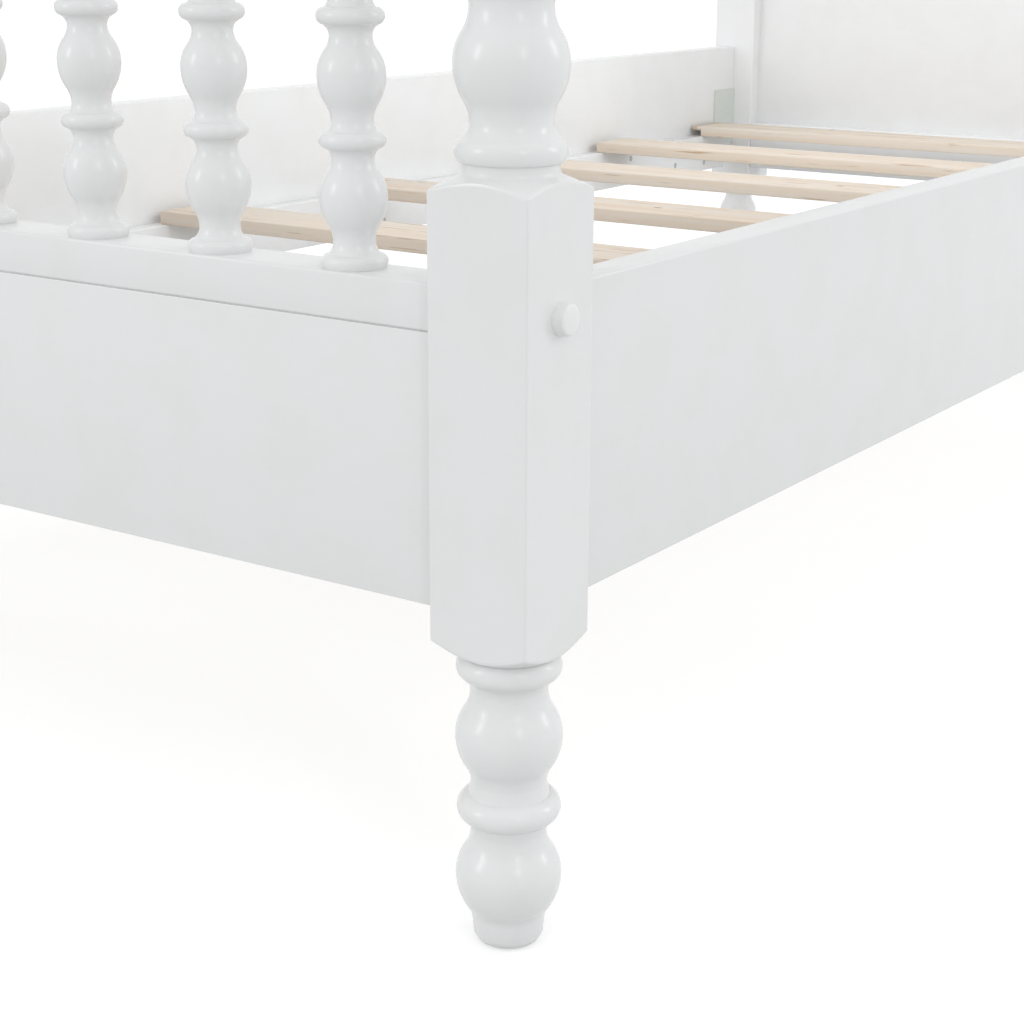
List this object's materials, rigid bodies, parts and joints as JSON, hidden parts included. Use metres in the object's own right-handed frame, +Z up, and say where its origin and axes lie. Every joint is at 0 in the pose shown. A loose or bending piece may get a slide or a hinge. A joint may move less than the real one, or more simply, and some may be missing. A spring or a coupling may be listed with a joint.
{
  "type": "spindle bed",
  "caption": "Single bed frame with turned posts and spindles over boarded ends, hooked side rails and a slatted deck.",
  "frame": {"origin": "on the floor, at the middle of the bed's length and width", "axes": "+Y towards the head end, +X to the right seen from the foot end, +Z up"},
  "size_m": [1.012, 2.086, 0.9876],
  "materials": {
    "white_paint": "satin white paint on solid timber",
    "pine": "planed pine, unfinished",
    "plate_steel": "grey-green passivated steel",
    "bright_steel": "bright zinc",
    "cap_plastic": "white moulded plastic"
  },
  "bodies": {
    "root": {"barrel_nuts": "bright_steel", "bolt_caps": "cap_plastic", "foot_board": "white_paint", "foot_cap_rail": "white_paint", "foot_post_left": "white_paint", "foot_post_right": "white_paint", "foot_spindle_1": "white_paint", "foot_spindle_2": "white_paint", "foot_spindle_3": "white_paint", "foot_spindle_4": "white_paint", "foot_spindle_5": "white_paint", "foot_spindle_6": "white_paint", "foot_spindle_7": "white_paint", "foot_spindle_8": "white_paint", "foot_spindle_9": "white_paint", "foot_top_rail": "white_paint", "head_lower_rail": "white_paint", "head_middle_rail": "white_paint", "head_panel": "white_paint", "head_post_left": "white_paint", "head_post_right": "white_paint", "head_spindle_1": "white_paint", "head_spindle_2": "white_paint", "head_spindle_3": "white_paint", "head_spindle_4": "white_paint", "head_spindle_5": "white_paint", "head_spindle_6": "white_paint", "head_spindle_7": "white_paint", "head_spindle_8": "white_paint", "head_spindle_9": "white_paint", "head_top_rail": "white_paint", "hook_pins": "bright_steel", "ledger_left": "pine", "ledger_right": "pine", "post_bolts": "bright_steel", "rail_hook_foot_left": "plate_steel", "rail_hook_foot_right": "plate_steel", "rail_hook_head_left": "plate_steel", "rail_hook_head_right": "plate_steel", "side_rail_left": "white_paint", "side_rail_right": "white_paint", "slat_1": "pine", "slat_2": "pine", "slat_3": "pine", "slat_4": "pine", "slat_5": "pine", "slat_6": "pine", "slat_7": "pine"}
  },
  "joints": []
}
